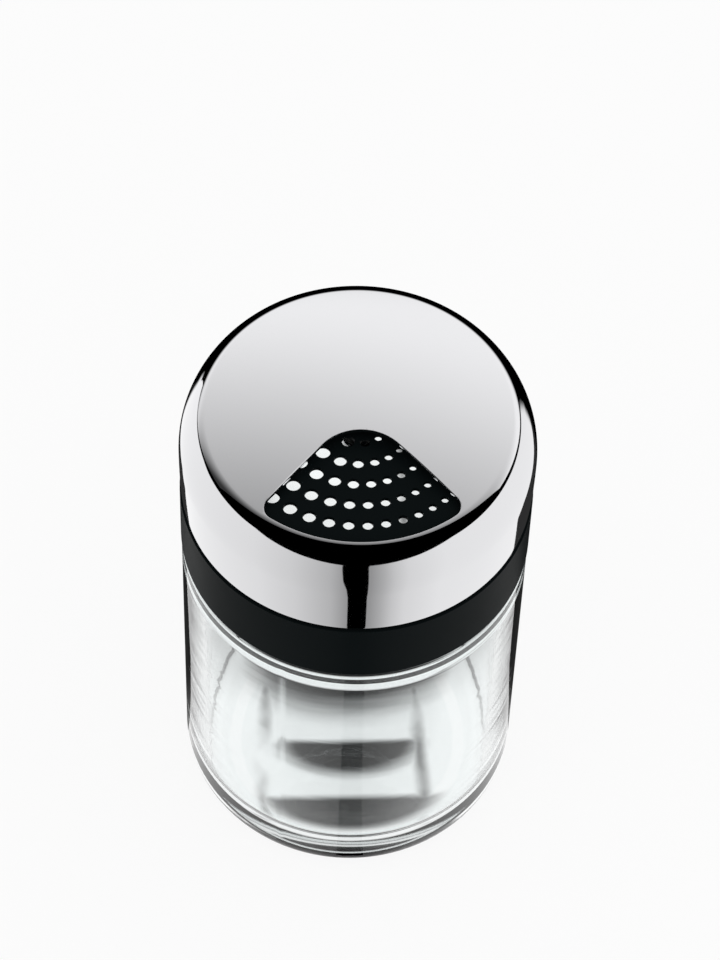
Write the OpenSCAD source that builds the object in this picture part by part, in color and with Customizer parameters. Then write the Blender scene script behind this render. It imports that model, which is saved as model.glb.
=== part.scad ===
// Parmesan shaker: a glass jar with a screw-on lid, whose steel cap turns over a graded sieve.
// Millimetres, +Z up. The origin is the centre of the foot of the jar, and the window faces -Y.

/* [Steel cap] */
// Diameter of the cap at its widest
cap_d = 72; // [66:0.5:78]
// Height of the cap from its lower edge to the middle of its crown
cap_h = 25.7; // [22:0.1:32]
// Thickness of the steel sheet
sheet_t = 0.8; // [0.5:0.1:1]
// Radius of the soft curve above the widest point
side_r = 18; // [12:0.5:20]
// Angle that the soft curve turns through before the shoulder
side_turn = 32; // [20:1:40]
// Radius of the shoulder
shoulder_r = 3.6; // [2.5:0.1:6]
// Slope of the crown where it meets the shoulder
crown_slope = 7; // [4:0.5:9]
// Radius of the slight belly below the widest point
belly_r = 300; // [200:10:600]
// Outer radius of the bend at the lower edge
bend_r = 1; // [1:0.1:1.4]
// Width of the hem that turns inwards under the wall
hem_w = 1.5; // [1.2:0.1:1.7]

/* [Window] */
// Angle between the straight edges of the window
window_angle = 84.5; // [70:0.5:96]
// Radius of the outer arc, from the axis of the cap
window_r = 30.6; // [27:0.1:31]
// Radius that rounds the point of the window
apex_r = 10.3; // [6:0.1:13]
// Radius that rounds the two outer corners
corner_r = 2.8; // [1.5:0.1:5]

/* [Sieve] */
// Depth of the face of the sieve below the middle of the crown
sieve_depth = 3.2; // [2.8:0.1:5]
// Thickness of the deck
deck_t = 1; // [0.8:0.1:1.6]
// Number of rows of holes
row_count = 5; // [3:1:5]
// Radius of the innermost row
first_row_r = 6.05; // [5.6:0.05:7]
// Distance between rows
row_pitch = 4.9; // [4.5:0.1:5.2]
// Diameter of the finest holes
fine_hole_d = 1.5; // [1:0.1:2]
// Diameter of the coarsest holes
coarse_hole_d = 3.8; // [2.5:0.1:4]
// Angle of the fine end of the pattern, from the middle of the window
fine_end = 40; // [30:1:45]
// Angle that the pattern covers, from the fine end to the coarse end
pattern_span = 130; // [100:1:150]
// Web between neighbouring holes of the innermost row
inner_web = 1.1; // [0.9:0.1:1.4]
// Web between neighbouring holes of the outermost row
outer_web = 1.5; // [1.2:0.1:1.8]
// Rounding of the edge of the deck
deck_round = 0.8; // [0.4:0.1:1]
// Depth of the flange, which rests on the spigot, below the face of the deck
flange_drop = 3.7; // [3.2:0.1:6]
// Thickness of the flange
flange_t = 1; // [0.8:0.1:1.4]
// Length of the locating skirt below the flange
skirt_h = 4; // [3:0.5:8]
// Wall of the locating skirt
skirt_t = 1.2; // [1:0.1:1.6]
// Length of the hub under the deck
hub_h = 4.5; // [4:0.5:8]
// Wall of the hub
hub_t = 1.45; // [1.2:0.05:1.8]

/* [Collar and liner] */
// Height of the black ring that shows between steel and glass
collar_h = 16.3; // [13:0.1:19]
// Wall of the collar round the thread
collar_t = 2.7; // [2.2:0.1:3.2]
// Thickness of the ledge that presses on the gasket
ledge_t = 2; // [1.5:0.1:3]
// Wall of the spigot that the cap turns on
spigot_t = 1.6; // [1.3:0.1:2]
// Rounding of the lower edge of the collar
collar_round = 0.5; // [0.2:0.1:0.8]
// Thickness of the liner at the lower edge of the cap
liner_t = 1.2; // [1:0.1:1.3]
// Height of the liner
liner_h = 17; // [12:0.5:18]
// Depth of the groove for the stop lug
stop_depth = 0.7; // [0.5:0.1:0.8]
// Height of the stop lug
stop_h = 4; // [3:0.5:6]
// Width of the stop lug, in degrees
stop_angle = 6; // [4:1:8]
// Play of the stop lug at each end of its groove, in degrees
stop_play = 1; // [0.5:0.5:3]
// Turn of the cap from the photographed position to the coarse end
turn_coarse = 47; // [40:1:60]
// Turn of the cap from the photographed position to closed
turn_closed = 97; // [90:1:110]

/* [Glass jar] */
// Height of the glass to its rim
jar_h = 94.4; // [80:0.1:120]
// Step from the face of the collar in to the glass
jar_step = 0.15; // [0.1:0.05:0.5]
// Thickness of the wall
jar_t = 4; // [3:0.1:5]
// Thickness of the base in the middle
base_t = 7; // [5:0.5:10]
// Radius of the rounded heel
heel_r = 8; // [5:0.5:10]
// Radius where the inside wall meets the floor
floor_r = 7; // [5:0.5:9]
// Depth of the hollow under the base
punt_h = 1.5; // [1:0.1:2.5]
// Width of the ring that the jar stands on
foot_w = 3.5; // [2.5:0.5:6]
// Wall of the neck
neck_t = 3; // [2.4:0.1:3.4]
// Rounding of the shoulder at the foot of the neck
shoulder_round = 1.8; // [1:0.1:2.2]
// Angle that each of the two arcs inside the shoulder turns through
shoulder_turn = 53; // [40:1:75]
// Depth of the screw thread between neck and collar
thread_depth = 1.2; // [1:0.1:1.4]

/* [Gasket and centre fixing] */
// Thickness of the silicone gasket
gasket_t = 1.5; // [1:0.1:2.5]
// Diameter of the stud
stud_d = 3; // [2.5:0.1:3.2]
// Diameter of the plate that is welded under the crown
weld_d = 6.8; // [6:0.1:8]
// Thickness of the welded plate
weld_t = 0.7; // [0.5:0.1:1]
// Diameter of the shoulder above the sieve
stud_shoulder_d = 4.8; // [4.2:0.1:5.4]
// Outer diameter of the washers
washer_d = 6.2; // [6:0.1:7]
// Thickness of the flat washer
washer_t = 0.5; // [0.4:0.1:1]
// Thickness of the spring washer
spring_t = 0.4; // [0.3:0.1:0.5]
// Free rise of the spring washer
spring_rise = 0.6; // [0.4:0.1:0.9]
// Width of the nut across its flats
nut_af = 5.5; // [5:0.1:6]
// Height of the nut
nut_h = 2.8; // [2.4:0.1:4.5]
// Length of thread that shows past the nut
stud_tail = 0.6; // [0.4:0.1:2]

/* [Fits] */
// Radial clearance where the cap turns on the spigot
turn_fit = 0.1; // [0.05:0.01:0.1]
// Radial clearance of the stud in the hub
stud_fit = 0.05; // [0.03:0.01:0.1]
// Gap between faces that move past each other
face_gap = 0.3; // [0.2:0.05:0.4]
// Gap between the rim of the glass and the gasket
seat_gap = 0.1; // [0.05:0.01:0.2]
// Gap that glue or a push fit fills
glue_gap = 0.1; // [0.05:0.01:0.15]

/* [Hidden] */
$fn = 96;
arc_steps = 12;
hole_facets = 24;
overrun = 1;
// Angle of the first hole of each row, from the middle of the window
row_leads = [37.4, 44.9, 40.4, 38.9, 39.4];

// Radii, from the outside in
cap_r = cap_d / 2;
collar_bore_r = cap_r - collar_t;
jar_r = cap_r - jar_step;
neck_r = collar_bore_r - thread_depth - face_gap;
neck_in_r = neck_r - neck_t;
jar_in_r = jar_r - jar_t;
stud_bore_r = stud_d / 2 + stud_fit;
hub_r = stud_bore_r + hub_t;

// Heights, from the table up
rim_z = jar_h;
ledge_z = rim_z + seat_gap + gasket_t;
step_z = ledge_z + ledge_t;
collar_z = step_z - collar_h;
shoulder_z = collar_z - face_gap;
edge_z = step_z + face_gap;
crown_z = edge_z + cap_h;
deck_z = crown_z - sieve_depth;
hub_z = deck_z - deck_t - hub_h;
spigot_top_z = deck_z - flange_drop;
flange_z = spigot_top_z + flange_t;

// Heights of the centre fixing, from the hub down
spring_z = hub_z - face_gap - spring_t - spring_rise;
washer_z = spring_z - washer_t;
nut_z = washer_z - nut_h;
stud_z = nut_z - stud_tail;

// Arcs of the cap, each tangent to the next
side_c_r = cap_r - side_r;
shoulder_c_r = side_c_r + (side_r - shoulder_r) * cos(side_turn);
crown_r = (shoulder_c_r + shoulder_r * sin(crown_slope)) / sin(crown_slope);
crown_c = [0, crown_z - crown_r];
shoulder_c = [shoulder_c_r, crown_c.y + (crown_r - shoulder_r) * cos(crown_slope)];
side_c = [side_c_r, shoulder_c.y - (side_r - shoulder_r) * sin(side_turn)];
belly_c = [cap_r - belly_r, side_c.y];
bend_a = asin((edge_z + bend_r - belly_c.y) / (belly_r - bend_r));
bend_c = belly_c + polar(belly_r - bend_r, bend_a);
hem_r = bend_c.x + bend_r - hem_w;

// The liner stands on the hem, and the spigot turns inside it
liner_z = edge_z + sheet_t + glue_gap;
liner_r = wall_r(liner_z) - liner_t;
spigot_r = liner_r - turn_fit;
spigot_in_r = spigot_r - spigot_t;
skirt_r = spigot_in_r - glue_gap;
flange_r = wall_r(flange_z) - face_gap;
stop_z = liner_z + stop_h / 2;

// Window: its straight edges run to the axis
edge_a = window_angle / 2;
corner_a = edge_a - asin(corner_r / (window_r - corner_r));

// Growth of the hole radius per degree, from fine to coarse
grade = (coarse_hole_d - fine_hole_d) / 2 / pattern_span;

function polar(r, a) = r * [cos(a), sin(a)];

// Points of an arc, without its first one
function arc(c, r, from, to) =
    [for (i = [1 : arc_steps]) c + polar(r, from + (to - from) * i / arc_steps)];

function backwards(points) = [for (i = [len(points) - 1 : -1 : 0]) points[i]];

// Radius at a height of the inside of the sheet, where its outside has radius r round c
function sheet_r(c, r, z) = c.x + sqrt((r - sheet_t) ^ 2 - (z - c.y) ^ 2);

// Inside radius of the wall of the cap at a height
function wall_r(z) = z < side_c.y ? sheet_r(belly_c, belly_r, z) : sheet_r(side_c, side_r, z);

// One face of the steel sheet from the hem to the axis, inset from the outside
function cap_line(inset) = concat(
    [[hem_r, edge_z + inset], [bend_c.x, edge_z + inset]],
    arc(bend_c, bend_r - inset, -90, bend_a),
    arc(belly_c, belly_r - inset, bend_a, 0),
    arc(side_c, side_r - inset, 0, side_turn),
    arc(shoulder_c, shoulder_r - inset, side_turn, 90 - crown_slope),
    arc(crown_c, crown_r - inset, 90 - crown_slope, 90));

function hole_r(a) = fine_hole_d / 2 + grade * (fine_end - a);

function row_web(row) = inner_web + (outer_web - inner_web) * row / (row_count - 1);

// Turn from one hole of a row to the next coarser one, which leaves the row's web between them
function hole_turn(row, r, a) = (2 * hole_r(a) + row_web(row)) / (r * PI / 180 - grade);

function row_angles(row, r, a) = a < fine_end - pattern_span
    ? []
    : concat([a], row_angles(row, r, a - hole_turn(row, r, a)));

module ring(r, bore, z, h) {
    translate([0, 0, z]) difference() {
        cylinder(r = r, h = h);
        translate([0, 0, -overrun]) cylinder(r = bore, h = h + 2 * overrun);
    }
}

module glass_jar() {
    inner_z = shoulder_z - neck_t;
    inner_bend = (jar_in_r - neck_in_r) / 2 / (1 - cos(shoulder_turn));
    inner_drop = 2 * inner_bend * sin(shoulder_turn);
    foot_r = jar_r - heel_r;
    punt_r = foot_r - foot_w;
    dome_r = (punt_r ^ 2 + punt_h ^ 2) / (2 * punt_h);
    lip_r = neck_t / 2;
    outside = concat(
        [[0, punt_h]],
        arc([0, punt_h - dome_r], dome_r, 90, 90 - asin(punt_r / dome_r)),
        [[foot_r, 0]],
        arc([foot_r, heel_r], heel_r, -90, 0),
        [[jar_r, shoulder_z - shoulder_round]],
        arc([jar_r - shoulder_round, shoulder_z - shoulder_round], shoulder_round, 0, 90),
        [[neck_r, shoulder_z], [neck_r, rim_z - lip_r]],
        arc([neck_r - lip_r, rim_z - lip_r], lip_r, 0, 180));
    inside = concat(
        [[neck_in_r, inner_z]],
        arc([neck_in_r + inner_bend, inner_z], inner_bend, 180, 180 + shoulder_turn),
        arc([jar_in_r - inner_bend, inner_z - inner_drop], inner_bend, shoulder_turn, 0),
        [[jar_in_r, base_t + floor_r]],
        arc([jar_in_r - floor_r, base_t + floor_r], floor_r, 0, -90),
        [[0, base_t]]);
    color([0.85, 0.9, 0.92, 0.4]) rotate_extrude() polygon(concat(outside, inside));
}

module neck_gasket() {
    color("whitesmoke") ring(neck_r, neck_in_r, ledge_z - gasket_t, gasket_t);
}

module screw_collar() {
    groove_a = turn_coarse + turn_closed + stop_angle + 2 * stop_play;
    profile = concat(
        [[neck_in_r, ledge_z], [collar_bore_r, ledge_z], [collar_bore_r, collar_z],
            [cap_r - collar_round, collar_z]],
        arc([cap_r - collar_round, collar_z + collar_round], collar_round, -90, 0),
        [[cap_r, step_z], [spigot_r, step_z], [spigot_r, spigot_top_z],
            [spigot_in_r, spigot_top_z], [spigot_in_r, step_z], [neck_in_r, step_z]]);
    color([0.07, 0.07, 0.075]) difference() {
        rotate_extrude() polygon(profile);
        rotate(90 - turn_coarse - stop_angle / 2 - stop_play)
            rotate_extrude(angle = groove_a) translate([spigot_r - stop_depth, stop_z - face_gap])
                square([stop_depth + overrun, stop_h + 2 * face_gap]);
    }
}

module sieve_disc() {
    skirt_in_r = skirt_r - skirt_t;
    profile = concat(
        [[stud_bore_r, deck_z], [stud_bore_r, hub_z], [hub_r, hub_z], [hub_r, deck_z - deck_t],
            [skirt_in_r, deck_z - deck_t], [skirt_in_r, spigot_top_z - skirt_h],
            [skirt_r, spigot_top_z - skirt_h], [skirt_r, spigot_top_z], [flange_r, spigot_top_z],
            [flange_r, flange_z], [skirt_r, flange_z], [skirt_r, deck_z - deck_round]],
        arc([skirt_r - deck_round, deck_z - deck_round], deck_round, 0, 90));
    color([0.06, 0.06, 0.065]) difference() {
        rotate_extrude() polygon(profile);
        for (row = [0 : row_count - 1]) {
            r = first_row_r + row * row_pitch;
            for (a = row_angles(row, r, row_leads[row]))
                translate([r * sin(a), -r * cos(a), deck_z - deck_t - overrun])
                    cylinder(r = hole_r(a), h = deck_t + 2 * overrun, $fn = hole_facets);
        }
    }
}

module steel_cap() {
    outline = concat(
        arc([0, -apex_r / sin(edge_a)], apex_r, 180 - edge_a, edge_a),
        arc(polar(window_r - corner_r, corner_a - 90), corner_r, edge_a, corner_a - 90),
        arc([0, 0], window_r, corner_a - 90, -90 - corner_a),
        arc(polar(window_r - corner_r, -90 - corner_a), corner_r, -90 - corner_a, -180 - edge_a));
    color([0.8, 0.81, 0.83]) difference() {
        rotate_extrude() polygon(concat(cap_line(0), backwards(cap_line(sheet_t))));
        translate([0, 0, deck_z]) linear_extrude(sieve_depth + overrun) polygon(outline);
    }
}

module cap_liner() {
    outer = [for (i = [0 : arc_steps])
        let (z = liner_z + liner_h * i / arc_steps) [wall_r(z) - glue_gap, z]];
    color([0.09, 0.09, 0.095]) {
        rotate_extrude() polygon(concat([[liner_r, liner_z]], outer, [[liner_r, liner_z + liner_h]]));
        rotate(90 - stop_angle / 2)
            rotate_extrude(angle = stop_angle) translate([liner_r + face_gap - stop_depth, stop_z])
                square([stop_depth, stop_h]);
    }
}

module centre_stud() {
    top = crown_z - sheet_t - glue_gap;
    color("silver") union() {
        translate([0, 0, top - weld_t]) cylinder(d = weld_d, h = weld_t);
        translate([0, 0, deck_z + face_gap]) cylinder(d = stud_shoulder_d, h = top - deck_z - face_gap);
        translate([0, 0, stud_z]) cylinder(d = stud_d, h = top - stud_z);
    }
}

module spring_washer() {
    crest_z = spring_z + spring_rise;
    color("gray") rotate_extrude() polygon([[stud_bore_r, crest_z], [washer_d / 2, spring_z],
        [washer_d / 2, spring_z + spring_t], [stud_bore_r, crest_z + spring_t]]);
}

module flat_washer() {
    color("silver") ring(washer_d / 2, stud_bore_r, washer_z, washer_t);
}

module lock_nut() {
    color("silver") difference() {
        translate([0, 0, nut_z]) cylinder(d = nut_af / cos(30), h = nut_h, $fn = 6);
        translate([0, 0, nut_z - overrun]) cylinder(d = stud_d, h = nut_h + 2 * overrun);
    }
}

glass_jar();
neck_gasket();
screw_collar();
sieve_disc();
steel_cap();
cap_liner();
centre_stud();
spring_washer();
flat_washer();
lock_nut();
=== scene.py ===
import math

import bpy
from mathutils import Matrix, Vector


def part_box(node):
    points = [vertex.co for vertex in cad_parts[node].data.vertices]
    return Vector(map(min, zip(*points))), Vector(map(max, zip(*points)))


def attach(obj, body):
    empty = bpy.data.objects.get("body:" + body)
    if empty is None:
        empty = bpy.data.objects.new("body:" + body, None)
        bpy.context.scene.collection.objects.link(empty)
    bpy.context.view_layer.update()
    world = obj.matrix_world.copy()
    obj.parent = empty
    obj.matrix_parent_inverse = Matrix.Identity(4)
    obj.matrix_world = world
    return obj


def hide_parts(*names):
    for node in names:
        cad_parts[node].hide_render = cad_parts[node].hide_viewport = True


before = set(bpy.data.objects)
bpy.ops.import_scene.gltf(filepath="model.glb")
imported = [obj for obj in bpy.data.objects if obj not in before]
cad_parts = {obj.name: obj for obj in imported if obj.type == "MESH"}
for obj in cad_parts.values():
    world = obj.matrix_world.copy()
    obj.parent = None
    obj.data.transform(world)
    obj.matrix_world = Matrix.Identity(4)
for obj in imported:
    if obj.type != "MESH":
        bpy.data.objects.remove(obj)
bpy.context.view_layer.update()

mm = 0.001
turnSteps = 360          # faces round a turned piece


# Modelling helpers

def deselectAll():
    if bpy.context.object and bpy.context.object.mode != "OBJECT":
        bpy.ops.object.mode_set(mode="OBJECT")
    bpy.ops.object.select_all(action="DESELECT")


def activate(piece):
    deselectAll()
    piece.select_set(True)
    bpy.context.view_layer.objects.active = piece


def settle(piece):
    # the finished piece's object sits at the origin, with its place in its mesh
    activate(piece)
    bpy.ops.object.transform_apply(location=True, rotation=True, scale=True)
    return piece


def startLine(name, r, z):
    # one point, from which a profile is drawn in the XZ plane
    deselectAll()
    bpy.ops.mesh.primitive_plane_add(size=mm, location=(r * mm, 0, z * mm))
    piece = bpy.context.object
    piece.name = name
    bpy.ops.object.mode_set(mode="EDIT")
    bpy.ops.mesh.merge(type="CENTER")
    return piece


def drawProfile(name, start, steps):
    # steps are ("line", r, z), or ("arc", centre r, centre z, turn in degrees, points)
    piece = startLine(name, *start)
    r, z = start
    for step in steps:
        if step[0] == "line":
            move = ((step[1] - r) * mm, 0, (step[2] - z) * mm)
            bpy.ops.mesh.extrude_region_move(TRANSFORM_OT_translate={"value": move})
            r, z = step[1:3]
        else:
            centreR, centreZ, turn, points = step[1:]
            bpy.ops.mesh.spin(steps=points, angle=math.radians(turn),
                              center=(centreR * mm, 0, centreZ * mm), axis=(0, 1, 0))
            c, s = math.cos(math.radians(turn)), math.sin(math.radians(turn))
            r, z = (centreR + (r - centreR) * c - (z - centreZ) * s,
                    centreZ + (r - centreR) * s + (z - centreZ) * c)
    return piece


def revolve(piece, steps=turnSteps):
    # turns the profile round the axis of the shaker and closes the seam and the poles
    bpy.ops.mesh.select_all(action="SELECT")
    bpy.ops.mesh.spin(steps=steps, angle=math.tau, center=(0, 0, 0), axis=(0, 0, 1))
    bpy.ops.mesh.select_all(action="SELECT")
    bpy.ops.mesh.remove_doubles(threshold=0.002 * mm)
    bpy.ops.mesh.delete_loose(use_verts=True, use_edges=True, use_faces=False)
    bpy.ops.mesh.select_all(action="SELECT")
    bpy.ops.mesh.normals_make_consistent(inside=False)
    bpy.ops.object.mode_set(mode="OBJECT")
    return settle(piece)


def smooth(piece, angle=35):
    activate(piece)
    bpy.ops.object.shade_smooth_by_angle(angle=math.radians(angle))
    return piece


def applyModifier(piece, kind, **settings):
    activate(piece)
    modifier = piece.modifiers.new(kind.title(), kind)
    for key, value in settings.items():
        setattr(modifier, key, value)
    bpy.ops.object.modifier_apply(modifier=modifier.name)
    return piece


def softEdges(piece, width, segments=2, angle=40):
    # a small radius on every sharp edge; the flat faces between keep one normal
    applyModifier(piece, "BEVEL", width=width * mm, segments=segments, limit_method="ANGLE",
                  angle_limit=math.radians(angle), use_clamp_overlap=True)
    smooth(piece)
    return applyModifier(piece, "WEIGHTED_NORMAL", keep_sharp=True, weight=90)


def copyNode(node, name):
    # a merged copy of a CAD node's mesh, with its flat faces whole again
    deselectAll()
    piece = bpy.data.objects.new(name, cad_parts[node].data.copy())
    bpy.context.scene.collection.objects.link(piece)
    activate(piece)
    bpy.ops.object.mode_set(mode="EDIT")
    bpy.ops.mesh.select_all(action="SELECT")
    bpy.ops.mesh.remove_doubles(threshold=0.002 * mm)
    bpy.ops.mesh.dissolve_limited(angle_limit=math.radians(0.5))
    bpy.ops.mesh.normals_make_consistent(inside=False)
    bpy.ops.object.mode_set(mode="OBJECT")
    return piece


def finishPiece(piece, material, slot, body, *nodes):
    piece.data.materials.clear()
    piece.data.materials.append(material)
    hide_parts(*nodes)
    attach(piece, body)
    print("piece ready:", piece.name, len(piece.data.polygons), "faces")
    return piece


# Material helpers

def hexColour(code):
    # sRGB hex to the linear values that Blender works in
    parts = [int(code[i:i + 2], 16) / 255 for i in (1, 3, 5)]
    return [p / 12.92 if p <= 0.04045 else ((p + 0.055) / 1.055) ** 2.4 for p in parts] + [1]


def addNode(tree, kind, inputs=None, **settings):
    # a node with its settings; an input is a value, or another node's socket to link
    node = tree.nodes.new(kind)
    for key, value in settings.items():
        setattr(node, key, value)
    for key, value in (inputs or {}).items():
        if isinstance(value, bpy.types.NodeSocket):
            tree.links.new(value, node.inputs[key])
        else:
            node.inputs[key].default_value = value
    return node


def newMaterial(name, **values):
    # a material with its shader's own values set; returns the tree and the shader too
    material = bpy.data.materials.new(name)
    material.use_nodes = True
    shader = material.node_tree.nodes["Principled BSDF"]
    for key, value in values.items():
        shader.inputs[key.replace("_", " ")].default_value = value
    return material, material.node_tree, shader


def perMm(size):
    # scale of a pattern on Object coordinates whose features are this many millimetres wide
    return 1 / (size * mm)


# Mirror-polished stainless steel, deep drawn and buffed: crisp reflections that waver a little,
# with the faintest straight haze that the buffing wheel leaves
def polishedSteel():
    look = {"colour": "#e6e6e8", "roughness": 0.03, "haze": 0.05, "hazeFrom": 0.3, "hazeTo": 0.75,
            "buffLine": 0.25, "buffLength": 12, "draw": 9, "drawDepth": 0.0015}
    material, tree, shader = newMaterial("MirrorPolishedStainless", Metallic=1.0,
                                         Base_Color=hexColour(look["colour"]))
    place = addNode(tree, "ShaderNodeTexCoord").outputs["Object"]
    across = perMm(look["buffLine"])
    stretched = addNode(tree, "ShaderNodeMapping", {
        "Vector": place, "Scale": (perMm(look["buffLength"]), across, across)})
    buffing = addNode(tree, "ShaderNodeTexNoise", {"Vector": stretched.outputs["Vector"], "Scale": 1.0,
                                                   "Detail": 3.0, "Roughness": 0.6})
    haze = addNode(tree, "ShaderNodeMapRange", {
        "Value": buffing.outputs["Fac"], "From Min": look["hazeFrom"], "From Max": look["hazeTo"],
        "To Min": look["roughness"], "To Max": look["haze"]})
    tree.links.new(haze.outputs["Result"], shader.inputs["Roughness"])
    drawn = addNode(tree, "ShaderNodeTexNoise", {"Vector": place, "Scale": perMm(look["draw"]),
                                                 "Detail": 1.0})
    bump = addNode(tree, "ShaderNodeBump", {"Height": drawn.outputs["Fac"], "Strength": 1.0,
                                            "Distance": look["drawDepth"] * mm})
    tree.links.new(bump.outputs["Normal"], shader.inputs["Normal"])
    return material


# Black plastic, injection moulded against a fine spark-eroded tool: satin, with a soft sheen at
# glancing angles only. Collar and sieve are ABS, and the liner is polypropylene, a little duller
def satinPlastic(name, colour, roughness):
    look = {"shine": 0.012, "grain": 0.25, "grainDepth": 0.004, "cloud": 14, "spread": 0.05}
    material, tree, shader = newMaterial(name, IOR=1.49, Specular_IOR_Level=look["shine"],
                                         Base_Color=hexColour(colour))
    place = addNode(tree, "ShaderNodeTexCoord").outputs["Object"]
    grain = addNode(tree, "ShaderNodeTexNoise", {"Vector": place, "Scale": perMm(look["grain"]),
                                                 "Detail": 2.0})
    cloud = addNode(tree, "ShaderNodeTexNoise", {"Vector": place, "Scale": perMm(look["cloud"]),
                                                 "Detail": 2.0})
    rough = addNode(tree, "ShaderNodeMapRange", {
        "Value": cloud.outputs["Fac"], "To Min": roughness - look["spread"],
        "To Max": roughness + look["spread"]})
    tree.links.new(rough.outputs["Result"], shader.inputs["Roughness"])
    bump = addNode(tree, "ShaderNodeBump", {"Height": grain.outputs["Fac"], "Strength": 1.0,
                                            "Distance": look["grainDepth"] * mm})
    tree.links.new(bump.outputs["Normal"], shader.inputs["Normal"])
    return material


# Soda-lime glass, pressed and fire polished: clear, thick, with soft ripples from the mould
def pressedGlass():
    look = {"colour": "#fafdfd", "ripple": 5.5, "rippleLength": 30, "rippleDepth": 0.015}
    material, tree, shader = newMaterial("PressedSodaLimeGlass", IOR=1.52, Roughness=0.0,
                                         Base_Color=hexColour(look["colour"]))
    shader.inputs["Transmission Weight"].default_value = 1.0
    place = addNode(tree, "ShaderNodeTexCoord").outputs["Object"]
    along = perMm(look["rippleLength"])
    stretched = addNode(tree, "ShaderNodeMapping", {
        "Vector": place, "Scale": (along, along, perMm(look["ripple"]))})
    ripple = addNode(tree, "ShaderNodeTexNoise", {"Vector": stretched.outputs["Vector"], "Scale": 1.0,
                                                  "Detail": 1.5, "Distortion": 0.6})
    bump = addNode(tree, "ShaderNodeBump", {"Height": ripple.outputs["Fac"], "Strength": 1.0,
                                            "Distance": look["rippleDepth"] * mm})
    tree.links.new(bump.outputs["Normal"], shader.inputs["Normal"])
    return material


# Platinum-cured silicone, compression moulded: milky, soft and dull
def mouldedSilicone():
    look = {"colour": "#e9e8e3", "milk": 0.4, "milkDepth": 1.5, "dust": 0.8, "dustDepth": 0.01}
    material, tree, shader = newMaterial("MouldedSilicone", IOR=1.41, Roughness=0.5,
                                         Base_Color=hexColour(look["colour"]))
    shader.inputs["Subsurface Weight"].default_value = look["milk"]
    shader.inputs["Subsurface Radius"].default_value = (1.0, 0.9, 0.8)
    shader.inputs["Subsurface Scale"].default_value = look["milkDepth"] * mm
    place = addNode(tree, "ShaderNodeTexCoord").outputs["Object"]
    dust = addNode(tree, "ShaderNodeTexNoise", {"Vector": place, "Scale": perMm(look["dust"]),
                                                "Detail": 3.0})
    bump = addNode(tree, "ShaderNodeBump", {"Height": dust.outputs["Fac"], "Strength": 1.0,
                                            "Distance": look["dustDepth"] * mm})
    tree.links.new(bump.outputs["Normal"], shader.inputs["Normal"])
    return material


# Stainless bar and sheet for fixings, turned and pressed: fine rings round the axis, satin
def turnedSteel():
    look = {"colour": "#c3c3c4", "ring": 0.12, "ringDepth": 0.003}
    material, tree, shader = newMaterial("TurnedStainless", Metallic=1.0, Roughness=0.28,
                                         Base_Color=hexColour(look["colour"]))
    place = addNode(tree, "ShaderNodeTexCoord").outputs["Object"]
    rings = addNode(tree, "ShaderNodeTexWave", {
        "Vector": place, "Scale": perMm(look["ring"]) / math.tau, "Distortion": 1.5, "Detail": 2.0},
        wave_type="RINGS", rings_direction="Z")
    bump = addNode(tree, "ShaderNodeBump", {"Height": rings.outputs["Fac"], "Strength": 1.0,
                                            "Distance": look["ringDepth"] * mm})
    tree.links.new(bump.outputs["Normal"], shader.inputs["Normal"])
    return material


steelMaterial = polishedSteel()
blackMaterial = satinPlastic("SatinBlackAbs", "#0e1314", 0.38)
linerMaterial = satinPlastic("BlackPolypropylene", "#121314", 0.45)
glassMaterial = pressedGlass()
siliconeMaterial = mouldedSilicone()
fixingMaterial = turnedSteel()
print("materials ready")


# Sizes from the frame, in millimetres

jarHigh, gasketHigh = (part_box(node)[1] / mm for node in ("glass_jar", "neck_gasket"))
capLow, capHigh = (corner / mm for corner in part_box("steel_cap"))
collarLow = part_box("screw_collar")[0] / mm


# Glass jar: one closed wall, turned, with the screw thread and the mould seams on it

jar = {"wall": 4, "base": 7, "heel": 8, "floor": 7, "punt": 1.5, "foot": 3.5, "neckWall": 3,
       "shoulder": 1.8, "collarGap": 0.3, "insideTurn": 53,
       "threadPitch": 5, "threadTurns": 1.6, "threadHeight": 1.0, "threadWidth": 2.4,
       "threadStart": 3.4, "threadLead": 0.2, "threadRunOut": 0.04, "threadRows": 50,
       "seamAngle": -116, "seamHeight": 0.02}


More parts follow.
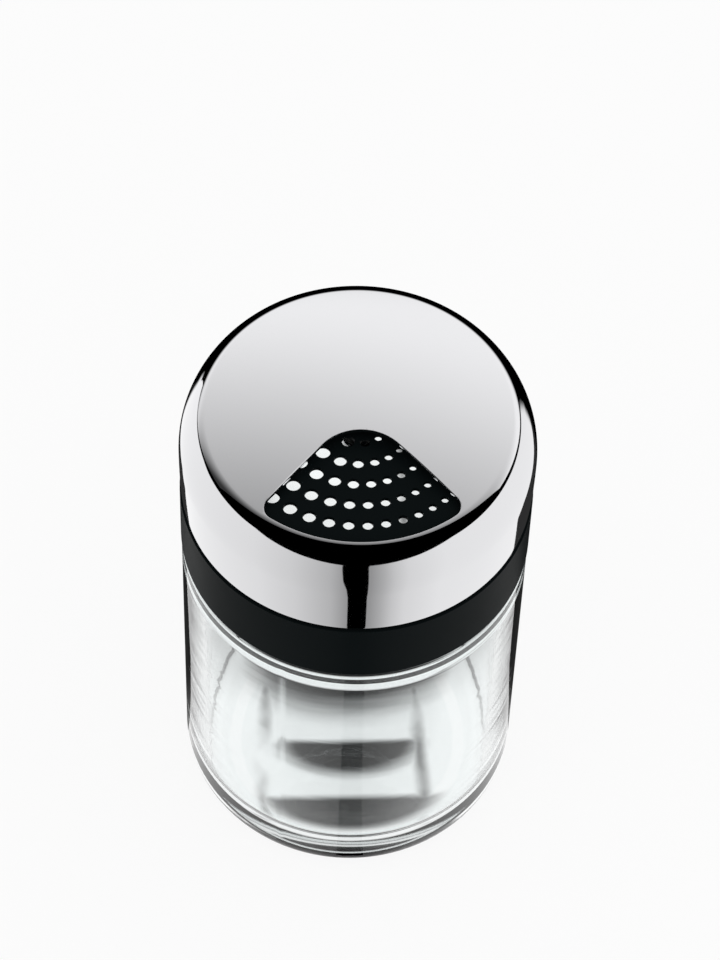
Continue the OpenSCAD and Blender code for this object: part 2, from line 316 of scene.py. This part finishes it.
def makeJar():
    outR, neckR = jarHigh.x, gasketHigh.x
    rim, shoulderZ = jarHigh.z, collarLow.z - jar["collarGap"]
    inR, neckInR = outR - jar["wall"], neckR - jar["neckWall"]
    footR = outR - jar["heel"]
    puntR = footR - jar["foot"]
    domeR = (puntR ** 2 + jar["punt"] ** 2) / (2 * jar["punt"])
    lip = jar["neckWall"] / 2
    innerZ = shoulderZ - jar["neckWall"]
    turn = math.radians(jar["insideTurn"])
    bend = (inR - neckInR) / 2 / (1 - math.cos(turn))
    drop = 2 * bend * math.sin(turn)
    threadTop = rim - lip
    seam = math.radians(jar["seamAngle"])
    steps = [("arc", 0, jar["punt"] - domeR, -math.degrees(math.asin(puntR / domeR)), 16),
             ("line", footR, 0),
             ("arc", footR, jar["heel"], 90, 24),
             ("line", outR, shoulderZ - jar["shoulder"]),
             ("arc", outR - jar["shoulder"], shoulderZ - jar["shoulder"], 90, 12),
             ("line", neckR, shoulderZ)]
    steps += [("line", neckR, shoulderZ + (threadTop - shoulderZ) * i / jar["threadRows"])
              for i in range(1, jar["threadRows"] + 1)]
    steps += [("arc", neckR - lip, rim - lip, 180, 16),
              ("line", neckInR, innerZ),
              ("arc", neckInR + bend, innerZ, jar["insideTurn"], 12),
              ("arc", inR - bend, innerZ - drop, -jar["insideTurn"], 12),
              ("line", inR, jar["base"] + jar["floor"]),
              ("arc", inR - jar["floor"], jar["base"] + jar["floor"], -90, 24),
              ("line", 0, jar["base"])]
    piece = revolve(drawProfile("glassJar", (0, jar["punt"]), steps))
    for point in piece.data.vertices:
        r, z = math.hypot(point.co.x, point.co.y) / mm, point.co.z / mm
        angle = math.atan2(point.co.y, point.co.x)
        if abs(r - neckR) < 0.01 and shoulderZ < z < threadTop:
            # rounded ridge that climbs once round for each pitch and runs out at both ends
            for lap in range(-1, 3):
                along = angle / math.tau + lap
                offset = z - (shoulderZ + jar["threadStart"] + along * jar["threadPitch"])
                left = min(along + jar["threadLead"], jar["threadTurns"] - jar["threadLead"] - along)
                if abs(offset) < jar["threadWidth"] / 2 and left > 0:
                    rise = math.cos(math.pi * offset / jar["threadWidth"]) ** 2
                    rise *= min(left / jar["threadRunOut"], 1)
                    grow = 1 + jar["threadHeight"] * rise / r
                    point.co.x *= grow
                    point.co.y *= grow
        elif abs(r - outR) < 0.01 and abs(math.sin(angle - seam)) < 0.001:
            # fine line where the two halves of the mould met
            point.co.x *= 1 + jar["seamHeight"] / r
            point.co.y *= 1 + jar["seamHeight"] / r
    return smooth(piece, 50)


finishPiece(makeJar(), glassMaterial, "jar_glass", "jar", "glass_jar")


# Steel cap: turned from the profile of its sheet, then the window is cut with a rolled edge

cap = {"sheet": 0.8, "side": 18, "sideTurn": 32, "shoulder": 3.6, "crownSlope": 7, "belly": 300,
       "bend": 1, "hem": 1.5,
       "windowAngle": 84.5, "windowRadius": 30.6, "apex": 10.3, "corner": 2.8,
       "edgeRound": 0.1, "edgeTurns": (0.39, 0.79, 1.18), "cutDepth": 4, "cutFlare": (0.4, 0.6)}


def capArcs():
    # centres and radii of the tangent arcs, from the widest point to the crown
    capR, edge, crown = capHigh.x, capLow.z, capHigh.z
    slope, sideTurn = math.radians(cap["crownSlope"]), math.radians(cap["sideTurn"])
    sideR = capR - cap["side"]
    shoulderR = sideR + (cap["side"] - cap["shoulder"]) * math.cos(sideTurn)
    crownRadius = (shoulderR + cap["shoulder"] * math.sin(slope)) / math.sin(slope)
    crownZ = crown - crownRadius
    shoulderZ = crownZ + (crownRadius - cap["shoulder"]) * math.cos(slope)
    sideZ = shoulderZ - (cap["side"] - cap["shoulder"]) * math.sin(sideTurn)
    bellyR = capR - cap["belly"]
    bendTurn = math.asin((edge + cap["bend"] - sideZ) / (cap["belly"] - cap["bend"]))
    bendR = bellyR + (cap["belly"] - cap["bend"]) * math.cos(bendTurn)
    return {"side": (sideR, sideZ), "shoulder": (shoulderR, shoulderZ), "crown": (0, crownZ),
            "crownRadius": crownRadius, "belly": (bellyR, sideZ), "bend": (bendR, edge + cap["bend"]),
            "bendTurn": math.degrees(bendTurn)}


def crownHeight(r):
    arcs = capArcs()
    return arcs["crown"][1] + math.sqrt(arcs["crownRadius"] ** 2 - r ** 2)


def makeCap():
    arcs = capArcs()
    edge, crown = capLow.z, capHigh.z
    hemR = arcs["bend"][0] + cap["bend"] - cap["hem"]
    slope, sideTurn = cap["crownSlope"], cap["sideTurn"]
    outward = [("line", arcs["bend"][0], edge),
               ("arc", *arcs["bend"], 90 + arcs["bendTurn"], 10),
               ("arc", *arcs["belly"], -arcs["bendTurn"], 12),
               ("arc", *arcs["side"], sideTurn, 24),
               ("arc", *arcs["shoulder"], 90 - slope - sideTurn, 28),
               ("arc", *arcs["crown"], slope, 44)]
    inward = [("line", 0, crown - cap["sheet"]),
              ("arc", *arcs["crown"], -slope, 20),
              ("arc", *arcs["shoulder"], -(90 - slope - sideTurn), 12),
              ("arc", *arcs["side"], -sideTurn, 12),
              ("arc", *arcs["belly"], arcs["bendTurn"], 6),
              ("arc", *arcs["bend"], -(90 + arcs["bendTurn"]), 6),
              ("line", hemR, edge + cap["sheet"]),
              ("line", hemR, edge)]
    return revolve(drawProfile("steelCap", (hemR, edge), outward + inward))


def windowOutline(offset):
    # points round the window, grown by an offset: apex, corner, outer arc, corner
    half = math.radians(cap["windowAngle"] / 2)
    cornerTurn = half - math.asin(cap["corner"] / (cap["windowRadius"] - cap["corner"]))
    cornerR = cap["windowRadius"] - cap["corner"]
    quarter = math.pi / 2
    arcs = [((0, -cap["apex"] / math.sin(half)), cap["apex"] + offset, math.pi - half, half, 26, 27),
            ((cornerR * math.sin(cornerTurn), -cornerR * math.cos(cornerTurn)), cap["corner"] + offset,
             half, cornerTurn - quarter, 20, 20),
            ((0, 0), cap["windowRadius"] + offset, cornerTurn - quarter, -quarter - cornerTurn, 60, 60),
            ((-cornerR * math.sin(cornerTurn), -cornerR * math.cos(cornerTurn)), cap["corner"] + offset,
             -quarter - cornerTurn, -math.pi - half, 20, 21)]
    points = []
    for (x, y), radius, start, end, steps, count in arcs:
        points += [(x + radius * math.cos(start + (end - start) * i / steps),
                    y + radius * math.sin(start + (end - start) * i / steps)) for i in range(count)]
    return points[::-1]


def windowCutter():
    # a plug whose sides flare where they meet the face of the sheet, so that the cut edge is rolled
    roll = cap["edgeRound"]
    levels = [(-roll, -cap["cutDepth"]), (-roll, -roll)]
    levels += [(-roll * math.cos(a), roll * (math.sin(a) - 1)) for a in cap["edgeTurns"]]
    levels += [(0, 0), cap["cutFlare"]]
    count = len(windowOutline(0))
    deselectAll()
    bpy.ops.mesh.primitive_circle_add(vertices=count, radius=cap["windowRadius"] * mm, fill_type="NGON")
    plug = bpy.context.object
    plug.name = "windowCutter"
    bpy.ops.object.mode_set(mode="EDIT")
    bpy.ops.mesh.select_all(action="SELECT")
    for level in levels[1:]:
        bpy.ops.mesh.extrude_region_move(TRANSFORM_OT_translate={"value": (0, 0, mm)})
    bpy.ops.object.mode_set(mode="OBJECT")
    outlines = [windowOutline(offset) for offset, height in levels]
    for point in plug.data.vertices:
        row = round(point.co.z / mm)
        x, y = outlines[row][round(math.atan2(point.co.y, point.co.x) / math.tau * count) % count]
        point.co = (x * mm, y * mm, (crownHeight(math.hypot(x, y)) + levels[row][1]) * mm)
    activate(plug)
    bpy.ops.object.mode_set(mode="EDIT")
    bpy.ops.mesh.select_all(action="SELECT")
    bpy.ops.mesh.quads_convert_to_tris()
    bpy.ops.mesh.normals_make_consistent(inside=False)
    bpy.ops.object.mode_set(mode="OBJECT")
    return plug


steelCap = makeCap()
plug = windowCutter()
applyModifier(steelCap, "BOOLEAN", object=plug, operation="DIFFERENCE", solver="EXACT")
bpy.data.objects.remove(plug)
finishPiece(smooth(steelCap, 30), steelMaterial, "polished_steel", "cap", "steel_cap")


# Plastic pieces: the CAD's own shapes, with the small radii that a mould leaves on every edge

moulded = {"sieveEdge": 0.14, "collarEdge": 0.12, "linerEdge": 0.1,
           "gasketEdge": 0.35, "gasketRounds": 4}

finishPiece(softEdges(copyNode("sieve_disc", "sieveDisc"), moulded["sieveEdge"]),
            blackMaterial, "black_plastic", "lid", "sieve_disc")
finishPiece(softEdges(copyNode("screw_collar", "screwCollar"), moulded["collarEdge"]),
            blackMaterial, "black_plastic", "lid", "screw_collar")
finishPiece(softEdges(copyNode("cap_liner", "capLiner"), moulded["linerEdge"]),
            linerMaterial, "black_plastic", "cap", "cap_liner")
finishPiece(softEdges(copyNode("neck_gasket", "neckGasket"), moulded["gasketEdge"],
                      moulded["gasketRounds"]),
            siliconeMaterial, "silicone", "lid", "neck_gasket")


# Centre fixing: the stud, washers and nut that hold the cap to the sieve

fixing = {"edge": 0.08}

for node, name in (("centre_stud", "centreStud"), ("spring_washer", "springWasher"),
                   ("flat_washer", "flatWasher"), ("lock_nut", "lockNut")):
    finishPiece(softEdges(copyNode(node, name), fixing["edge"]), fixingMaterial,
                "plain_steel", "cap", node)


# Studio: a pale floor, a large soft light above and behind, white cards at both sides, and a dark
# room beyond them. By Light Path the floor shows the steel its brightness by direction and the glass
# painted shade in patches and broken lines, while the floor's own picture stays plain and keeps the
# shaker's shadow

studio = {
    "floorRadius": 1.5, "floorColour": "#f6f6f6", "floorShown": 0.9,
    "softboxHeight": 1.25, "softboxWidth": 4.2, "softboxNear": 0.06, "softboxFar": 2.35,
    "softboxSlant": 0.35, "softboxFade": (-0.25, 1.1), "softboxLevels": (0.04, 1.06),
    "eye": 0.11, "cardDistance": 1.3, "cardFade": 0.92, "drapeRadius": 3.6, "wallFade": (0.2, 0.5),
    # how bright floor and cards are in the steel, by degrees round from the front
    "ring": ((-180, 0), (-143, 0), (-140, 1.1), (-107, 1.0), (-57, 0.88), (-35, 0.75), (-15, 0.55),
             (-6, 0.36), (5, 0.34), (12, 0.5), (18, 0.68), (25, 0.82), (45, 0.95), (91, 1.0),
             (126, 1.0), (130, 0), (180, 0)),
    # degrees round from the front, and how high the card stands there as seen from the cap
    "cardLeft": ((-140, 20), (-128, 21), (-106, 19), (-97, 14), (-82, 9.5), (-67, 4.5), (-50, 1),
                 (-30, -1), (-9, -2.5)),
    "cardRight": ((134, 16), (120, 18), (112, 17.5), (97, 14), (82, 10), (67, 6), (52, 3), (30, 0),
                  (5, -2.5)),
    # dark cloths just above the floor, far behind the shaker and in the gap in front
    "lift": 0.0005, "darkBehind": (130, 214), "darkReach": (0.088, 1.6), "darkSteps": 20,
    "gapLeft": ((-5.8, 0.037), (-5.8, 0.1), (-6.5, 0.16), (-8.2, 0.25), (-9.2, 1.6)), "gapRight": 4.5,
    # painted shade close behind the shaker, as steel and the skin of the glass reflect it: a grey sheet,
    #     # by its left and right edge; it is palest at its near end
    "nearLift": 0.0003, "nearShade": (0.25, 0.03), "nearFade": 0.2,
    "nearShadeEdges": (((-0.036, 0), (-0.04, 0.004), (-0.05, 0.015), (-0.066, 0.045), (-0.071, 0.055),
                   (-0.085, 0.06), (-0.1, 0.067), (-0.097, 0.08), (-0.085, 0.097), (-0.078, 0.115),
                   (-0.1, 0.14)),
                  ((0.036, -0.001), (0.042, 0.005), (0.054, 0.011), (0.073, 0.025), (0.09, 0.028),
                   (0.101, 0.03), (0.112, 0.035), (0.12, 0.05), (0.13, 0.08), (0.148, 0.113),
                   (0.17, 0.14))),
    # painted shade under and around the jar, which shows only through the glass, in half rounds: y of the
    # straight back edge, half width, depth, shade
    "paintedShadePatches": ((0.026, 0.033, 0.0242, 0.97), (-0.0024, 0.018, 0.0098, 0.97),
               (-0.0164, 0.0215, 0.011, 0.97), (0.036, 0.07, 0.03, 0.4), (-0.045, 0.12, 0.1, 0.8)),
    "paintedShadeCentre": 0.0005, "paintedShadeRim": (1.1, 0.68), "paintedShadeBack": (0.08, -0.12),
    # painted dark broken lines for the corner of the jar, left and right, seen only through the glass
    "stripeCentre": -0.0015, "stripe": 0.0177, "stripeWidth": 0.0026, "paintedStripeShade": 0.8,
    "stripeBreak": 14, "stripeBreaks": (0.35, 0.6), "stripeEnd": -0.02, "stripeFade": 0.01}


def stageMaterial(name):
    material = bpy.data.materials.new(name)
    material.use_nodes = True
    material.node_tree.nodes.clear()
    return material, material.node_tree


def addStage(piece, material, camera=False, diffuse=True, shadow=True, through=True):
    # only the floor is in the picture; what steel and glass show beside it needn't shade anything
    piece.data.materials.append(material)
    piece.visible_camera = camera
    piece.visible_diffuse = diffuse
    piece.visible_shadow = shadow
    piece.visible_transmission = through
    return piece


def ringLevel(tree, place):
    # brightness by direction round the shaker
    turned = addNode(tree, "ShaderNodeMapping", {"Vector": place, "Rotation": (0, 0, math.pi / 2)})
    circle = addNode(tree, "ShaderNodeTexGradient", {"Vector": turned.outputs["Vector"]},
                     gradient_type="RADIAL")
    ramp = addNode(tree, "ShaderNodeValToRGB", {"Fac": circle.outputs["Fac"]})
    stops = ramp.color_ramp.elements
    for angle, level in studio["ring"][1:-1]:
        stops.new(angle / 360 + 0.5).color = (level, level, level, 1)
    stops[0].color = stops[len(stops) - 1].color = (0, 0, 0, 1)
    return ramp.outputs["Color"]


def paintedStripeShade(tree, place):
    # painted shade: a broken dark line to the left and right, which ends in front of the shaker
    across = addNode(tree, "ShaderNodeSeparateXYZ", {0: place})
    ahead = addNode(tree, "ShaderNodeMapRange", {
        "Value": across.outputs["Y"], "From Min": studio["stripeEnd"] - studio["stripeFade"],
        "From Max": studio["stripeEnd"]}, interpolation_type="SMOOTHSTEP")
    beside = across.outputs["X"]
    for middle in (studio["stripeCentre"], studio["stripe"]):
        apart = addNode(tree, "ShaderNodeMath", {0: beside, 1: middle}, operation="SUBTRACT")
        beside = addNode(tree, "ShaderNodeMath", {0: apart.outputs[0]}, operation="ABSOLUTE").outputs[0]
    stripe = addNode(tree, "ShaderNodeMapRange", {
        "Value": beside, "From Min": studio["stripeWidth"], "From Max": 0.0},
        interpolation_type="SMOOTHSTEP")
    breaks = addNode(tree, "ShaderNodeTexNoise", {"Vector": place, "Scale": perMm(studio["stripeBreak"])})
    amount = addNode(tree, "ShaderNodeMapRange", {
        "Value": breaks.outputs["Fac"], "From Min": studio["stripeBreaks"][0],
        "From Max": studio["stripeBreaks"][1], "To Max": studio["paintedStripeShade"]})
    for part in (amount, ahead):
        stripe = addNode(tree, "ShaderNodeMath", {0: stripe.outputs[0], 1: part.outputs[0]},
                         operation="MULTIPLY")
    return stripe.outputs[0]


def paintedPatchShade(tree, place, shade):
    # painted shade: soft half rounds with a straight back edge, laid over the shade already painted there
    rim, core = studio["paintedShadeRim"]
    back, front = studio["paintedShadeBack"]
    for y, halfWidth, depth, strength in studio["paintedShadePatches"]:
        spot = addNode(tree, "ShaderNodeVectorMath", {
            0: place, 1: (1 / halfWidth, 1 / depth, 0),
            2: (-studio["paintedShadeCentre"] / halfWidth, -y / depth, 0)}, operation="MULTIPLY_ADD")
        reach = addNode(tree, "ShaderNodeVectorMath", {0: spot.outputs[0]}, operation="LENGTH")
        disc = addNode(tree, "ShaderNodeMapRange", {
            "Value": reach.outputs["Value"], "From Min": rim, "From Max": core, "To Max": strength},
            interpolation_type="SMOOTHSTEP")
        behind = addNode(tree, "ShaderNodeSeparateXYZ", {0: spot.outputs[0]})
        edge = addNode(tree, "ShaderNodeMapRange", {
            "Value": behind.outputs["Y"], "From Min": back, "From Max": front},
            interpolation_type="SMOOTHSTEP")
        both = addNode(tree, "ShaderNodeMath", {0: disc.outputs[0], 1: edge.outputs[0]},
                       operation="MULTIPLY")
        shade = addNode(tree, "ShaderNodeMath", {0: both.outputs[0], 1: shade},
                        operation="MAXIMUM").outputs[0]
    return shade


def floorMaterial():
    material, tree = stageMaterial("PaleFloor")
    path = addNode(tree, "ShaderNodeLightPath")
    place = addNode(tree, "ShaderNodeTexCoord").outputs["Object"]
    through = path.outputs["Is Transmission Ray"]
    # a ray that goes through clear glass counts as glossy too
    mirrored = addNode(tree, "ShaderNodeMath", {0: path.outputs["Is Glossy Ray"], 1: through},
                       operation="SUBTRACT", use_clamp=True).outputs[0]
    share = addNode(tree, "ShaderNodeMath", {0: path.outputs["Is Camera Ray"], 1: studio["floorShown"]},
                    operation="MULTIPLY").outputs[0]
    for ray in (through, mirrored):
        share = addNode(tree, "ShaderNodeMath", {0: ray, 1: share}, operation="ADD").outputs[0]
    # painted shade under and around the jar, which only rays through the glass see
    shade = paintedPatchShade(tree, place, paintedStripeShade(tree, place))
    under = addNode(tree, "ShaderNodeMath", {0: shade, 1: through}, operation="MULTIPLY")
    plain = addNode(tree, "ShaderNodeMath", {0: 1.0, 1: under.outputs[0]}, operation="SUBTRACT")
    level = addNode(tree, "ShaderNodeMix", {0: mirrored, 2: plain.outputs[0], 3: ringLevel(tree, place)},
                    data_type="FLOAT")
    lit = addNode(tree, "ShaderNodeBsdfDiffuse", {"Color": hexColour(studio["floorColour"])})
    glow = addNode(tree, "ShaderNodeEmission", {"Color": (1, 1, 1, 1), "Strength": level.outputs[0]})
    mixed = addNode(tree, "ShaderNodeMixShader", {0: share, 1: lit.outputs[0], 2: glow.outputs[0]})
    addNode(tree, "ShaderNodeOutputMaterial", {"Surface": mixed.outputs[0]})
    return material


def glowMaterial(name):
    # returns the tree and the light's strength too, for what shapes it
    material, tree = stageMaterial(name)
    glow = addNode(tree, "ShaderNodeEmission", {"Color": (1, 1, 1, 1)})
    addNode(tree, "ShaderNodeOutputMaterial", {"Surface": glow.outputs[0]})
    return material, tree, glow.inputs["Strength"]


def addFace(name, corners):
    # one flat or curved card: its corners in order, the near row out and the far row back
    deselectAll()
    bpy.ops.mesh.primitive_grid_add(x_subdivisions=len(corners) // 2 - 1, y_subdivisions=1, size=1)
    face = bpy.context.object
    face.name = name
    rows = corners[:len(corners) // 2] + corners[:len(corners) // 2 - 1:-1]
    for point, corner in zip(face.data.vertices, rows):
        point.co = corner
    return face


def around(angle, distance, height=0.0):
    # a place that many degrees round from the front of the shaker, towards +X
    return (distance * math.sin(math.radians(angle)), -distance * math.cos(math.radians(angle)), height)


deselectAll()
bpy.ops.mesh.primitive_circle_add(vertices=128, radius=studio["floorRadius"], fill_type="NGON")
floor = bpy.context.object
floor.name = "floor"
addStage(floor, floorMaterial(), camera=True)

# the soft light fades from its back edge, which is the brightest, to its front and left edges
wide, near, far, high = (studio["softboxWidth"] / 2, studio["softboxNear"], studio["softboxFar"],
                         studio["softboxHeight"])
softbox = addFace("softbox", [(-wide, near, high), (wide, near, high),
                              (wide, far, high), (-wide, far, high)])
glowing, tree, strength = glowMaterial("SoftboxCloth")
place = addNode(tree, "ShaderNodeSeparateXYZ", {0: addNode(tree, "ShaderNodeTexCoord").outputs["Object"]})
slant = addNode(tree, "ShaderNodeMath", {0: place.outputs["X"], 1: studio["softboxSlant"],
                                         2: place.outputs["Y"]}, operation="MULTIPLY_ADD")
fade = addNode(tree, "ShaderNodeMapRange", {
    "Value": slant.outputs[0], "From Min": studio["softboxFade"][0] * high,
    "From Max": studio["softboxFade"][1] * high, "To Min": studio["softboxLevels"][0],
    "To Max": studio["softboxLevels"][1]}, interpolation_type="SMOOTHSTEP")
back = addNode(tree, "ShaderNodeMapRange", {
    "Value": place.outputs["Y"], "From Min": far, "From Max": near + high},
    interpolation_type="SMOOTHSTEP")
level = addNode(tree, "ShaderNodeMath", {0: fade.outputs[0], 1: back.outputs[0]}, operation="MULTIPLY")
tree.links.new(level.outputs[0], strength)
addStage(softbox, glowing, through=False)

# white cards, which fade out softly along their top edge
far, eye = studio["cardDistance"], studio["eye"]
for name in ("cardLeft", "cardRight"):
    foot = [around(angle, far) for angle, rise in studio[name]]
    top = [around(angle, far, eye + far * math.tan(math.radians(rise))) for angle, rise in studio[name]]
    card = addFace(name, foot + top[::-1])
    paper, tree, strength = glowMaterial(name + "Paper")
    place = addNode(tree, "ShaderNodeTexCoord")
    rise = addNode(tree, "ShaderNodeSeparateXYZ", {0: place.outputs["UV"]})
    fade = addNode(tree, "ShaderNodeMapRange", {
        "Value": rise.outputs["Y"], "From Min": 1.0, "From Max": studio["cardFade"]},
        interpolation_type="SMOOTHSTEP")
    level = addNode(tree, "ShaderNodeMath", {0: ringLevel(tree, place.outputs["Object"]),
                                             1: fade.outputs[0]}, operation="MULTIPLY")
    tree.links.new(level.outputs[0], strength)
    addStage(card, paper, through=False)

# dark cloths in the steel, and painted shade close behind the shaker; through the glass only the cloth
# far behind shows
dark, tree = stageMaterial("BlackVelvet")
velvet = addNode(tree, "ShaderNodeBsdfDiffuse", {"Color": (0, 0, 0, 1)})
addNode(tree, "ShaderNodeOutputMaterial", {"Surface": velvet.outputs[0]})
(near, far), (start, end) = studio["darkReach"], studio["darkBehind"]
turns = [start + (end - start) * i / studio["darkSteps"] for i in range(studio["darkSteps"] + 1)]
inner = [around(angle, near, studio["lift"]) for angle in turns]
outer = [around(angle, far, studio["lift"]) for angle in turns]
addStage(addFace("darkFloorBehind", inner + outer[::-1]), dark, diffuse=False, shadow=False)
# painted shade close behind the shaker: a faintly glowing grey sheet that only reflections show
nearShadeSheet, tree, strength = glowMaterial("PaintedShadeSheet")
along = addNode(tree, "ShaderNodeSeparateXYZ", {0: addNode(tree, "ShaderNodeTexCoord").outputs["UV"]})
level = addNode(tree, "ShaderNodeMapRange", {
    "Value": along.outputs["X"], "From Max": studio["nearFade"], "To Min": studio["nearShade"][0],
    "To Max": studio["nearShade"][1]}, interpolation_type="SMOOTHSTEP")
tree.links.new(level.outputs[0], strength)
left, right = [[(x, y, studio["nearLift"]) for x, y in side] for side in studio["nearShadeEdges"]]
addStage(addFace("paintedShadeNear", left + right[::-1]), nearShadeSheet, diffuse=False, shadow=False, through=False)
left = [around(angle, distance, studio["lift"]) for angle, distance in studio["gapLeft"]]
right = [around(studio["gapRight"], distance, studio["lift"]) for angle, distance in studio["gapLeft"]]
addStage(addFace("gapInFront", left + right[::-1]), dark, diffuse=False, shadow=False, through=False)

# black cloth all round, beyond the lights, which is what the steel shows between them
deselectAll()
bpy.ops.mesh.primitive_uv_sphere_add(segments=48, ring_count=24, radius=studio["drapeRadius"])
drape = bpy.context.object
drape.name = "drape"
addStage(drape, dark, diffuse=False, through=False)

# white all round; through the glass it shows as a white wall that ends in the dark above
world = bpy.context.scene.world or bpy.data.worlds.new("Studio")
bpy.context.scene.world = world
world.use_nodes = True
tree = world.node_tree
tree.nodes.clear()
ray = addNode(tree, "ShaderNodeTexCoord").outputs["Generated"]
rise = addNode(tree, "ShaderNodeSeparateXYZ", {0: ray})
dusk = addNode(tree, "ShaderNodeMapRange", {
    "Value": rise.outputs["Z"], "From Min": studio["wallFade"][0], "From Max": studio["wallFade"][1]},
    interpolation_type="SMOOTHSTEP")
through = addNode(tree, "ShaderNodeLightPath").outputs["Is Transmission Ray"]
above = addNode(tree, "ShaderNodeMath", {0: dusk.outputs[0], 1: through}, operation="MULTIPLY")
level = addNode(tree, "ShaderNodeMath", {0: 1.0, 1: above.outputs[0]}, operation="SUBTRACT")
air = addNode(tree, "ShaderNodeBackground", {"Color": (1, 1, 1, 1), "Strength": level.outputs[0]})
addNode(tree, "ShaderNodeOutputWorld", {"Surface": air.outputs[0]})


# Camera at the photograph's viewing angle, from a perspective fit

view = {"place": (-0.0261, -0.43965, 0.7368), "lens": 142.98, "turn": -3.4,
        "right": (0.99929, 0.03060, 0.02214), "up": (-0.03776, 0.82226, 0.56786)}
cameraData = bpy.data.cameras.new("camera")
cameraData.sensor_width = 36
cameraData.sensor_fit = "AUTO"
cameraData.lens = view["lens"]
cameraData.clip_start = 0.01
camera = bpy.data.objects.new("camera", cameraData)
bpy.context.scene.collection.objects.link(camera)
axisX, axisY = Vector(view["right"]).normalized(), Vector(view["up"])
axisY = (axisY - axisX * axisX.dot(axisY)).normalized()
axes = Matrix((axisX, axisY, axisX.cross(axisY))).transposed()
camera.matrix_world = (Matrix.Translation(view["place"])
                       @ Matrix.Rotation(math.radians(view["turn"]), 4, "Z") @ axes.to_4x4())
bpy.context.scene.camera = camera
bpy.context.scene.view_settings.view_transform = "Standard"
print("studio ready")
